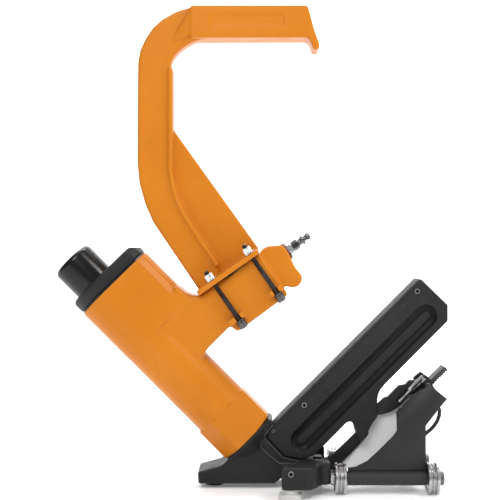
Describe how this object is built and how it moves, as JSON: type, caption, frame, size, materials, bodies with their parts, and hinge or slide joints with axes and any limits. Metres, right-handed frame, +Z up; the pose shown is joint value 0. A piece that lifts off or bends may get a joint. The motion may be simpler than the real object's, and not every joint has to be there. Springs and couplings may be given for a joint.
{
  "type": "flooring nailer",
  "caption": "Pneumatic hardwood-flooring nailer: cast barrel and C handle, rubber strike cap, angled magazine and a rolling base.",
  "frame": {"origin": "on the floor plane, midway along the length and width", "axes": "+Z up; +X towards the magazine; -Y the side with the wire hook"},
  "size_m": [0.48, 0.1786, 0.588],
  "materials": {
    "orange_paint": "gloss paint on a die casting",
    "black_paint": "satin black paint",
    "black_anodised": "satin black",
    "black_rubber": "moulded rubber",
    "black_oxide": "black oxide",
    "zinc_plate": "zinc plated",
    "bright_steel": "turned steel",
    "spring_steel": "oiled spring steel",
    "machined_alloy": "machined",
    "red_seal": "dark red sealing washer",
    "pale_nylon": "moulded nylon",
    "grey_plate": "pale grey satin plate",
    "black_plastic": "moulded, fine grain"
  },
  "bodies": {
    "frame": {"air_plug": "zinc_plate", "axle_far": "black_oxide", "axle_near": "black_oxide", "axle_nut_far": "bright_steel", "axle_nut_near": "bright_steel", "axle_tube_far": "black_paint", "axle_tube_near": "black_paint", "body_casting": "orange_paint", "bracket_screw_far": "zinc_plate", "bracket_screw_near": "zinc_plate", "bumper": "black_rubber", "cap_screw_1": "black_oxide", "cap_screw_2": "black_oxide", "cap_screw_3": "black_oxide", "cap_screw_4": "black_oxide", "clamp_bolt_1": "black_oxide", "clamp_bolt_2": "black_oxide", "clamp_bolt_3": "black_oxide", "clamp_bolt_4": "black_oxide", "clamp_nut_1": "zinc_plate", "clamp_nut_2": "zinc_plate", "clamp_nut_3": "zinc_plate", "clamp_nut_4": "zinc_plate", "cylinder_sleeve": "machined_alloy", "end_cap": "black_paint", "front_bracket": "black_paint", "glide_pad_far": "pale_nylon", "glide_pad_near": "pale_nylon", "handle": "orange_paint", "head_gasket": "black_rubber", "hex_bushing": "zinc_plate", "inlet_seal": "red_seal", "latch_bracket": "black_plastic", "lever_pin": "black_oxide", "mag_rivet_top": "zinc_plate", "mag_screw_far": "zinc_plate", "mag_screw_near": "zinc_plate", "magazine_body": "black_anodised", "magazine_rail": "bright_steel", "nose_casting": "black_paint", "pusher_spring": "spring_steel", "ram_spring": "spring_steel", "rear_bracket": "black_paint", "slide_plate": "grey_plate", "toe_foot": "black_rubber", "valve_seat": "machined_alloy", "valve_spring": "spring_steel"},
    "striker": {"strike_cap": "black_rubber", "ram_stem": "bright_steel"},
    "valve": {"head_valve": "pale_nylon"},
    "driver": {"piston": "machined_alloy", "piston_ring": "black_rubber", "driver_blade": "bright_steel"},
    "feeder": {"pusher": "bright_steel"},
    "lever": {"thumb_lever": "black_plastic"},
    "link": {"slotted_link": "bright_steel"},
    "roller_front_near_body": {"roller_front_near": "bright_steel"},
    "roller_front_far_body": {"roller_front_far": "bright_steel"},
    "roller_rear_near_body": {"roller_rear_near": "bright_steel"},
    "roller_rear_far_body": {"roller_rear_far": "bright_steel"}
  },
  "joints": [
    {"name": "strike_cap_press", "type": "slide", "parent": "frame", "child": "striker", "axis": [0.7071, 0, -0.7071], "range_m": [0, 0.008], "stiffness_N_per_m": 2500, "springref_m": -0.004, "deforming": ["ram_spring"]},
    {"name": "head_valve_lift", "type": "slide", "parent": "frame", "child": "valve", "axis": [-0.7071, 0, 0.7071], "range_m": [0, 0.006], "stiffness_N_per_m": 800, "springref_m": -0.004, "deforming": ["valve_spring"]},
    {"name": "driver_stroke", "type": "slide", "parent": "frame", "child": "driver", "axis": [0.7071, 0, -0.7071], "range_m": [0, 0.065]},
    {"name": "pusher_feed", "type": "slide", "parent": "frame", "child": "feeder", "axis": [-0.7071, 0, -0.7071], "range_m": [0, 0.13], "deforming": ["pusher_spring"]},
    {"name": "lever_turn", "type": "hinge", "parent": "frame", "child": "lever", "pos_m": [0.21466, 0, 0.1235], "axis": [0, 1, 0], "range_deg": [-55, 0]},
    {"name": "link_swing", "type": "hinge", "parent": "frame", "child": "link", "pos_m": [0.18076, 0, 0.1055], "axis": [0, 1, 0], "range_deg": [-5.5, 0]},
    {"name": "roller_front_near_spin", "type": "hinge", "parent": "frame", "child": "roller_front_near_body", "pos_m": [0.10496, -0.05, 0.0183], "axis": [1, 0, 0], "continuous": true},
    {"name": "roller_front_far_spin", "type": "hinge", "parent": "frame", "child": "roller_front_far_body", "pos_m": [0.10496, 0.05, 0.0183], "axis": [1, 0, 0], "continuous": true},
    {"name": "roller_rear_near_spin", "type": "hinge", "parent": "frame", "child": "roller_rear_near_body", "pos_m": [0.21416, -0.05, 0.0183], "axis": [1, 0, 0], "continuous": true},
    {"name": "roller_rear_far_spin", "type": "hinge", "parent": "frame", "child": "roller_rear_far_body", "pos_m": [0.21416, 0.05, 0.0183], "axis": [1, 0, 0], "continuous": true}
  ],
  "couplings": [
    {"joint": "link_swing", "follows": "lever_turn", "ratio": 0.1}
  ]
}
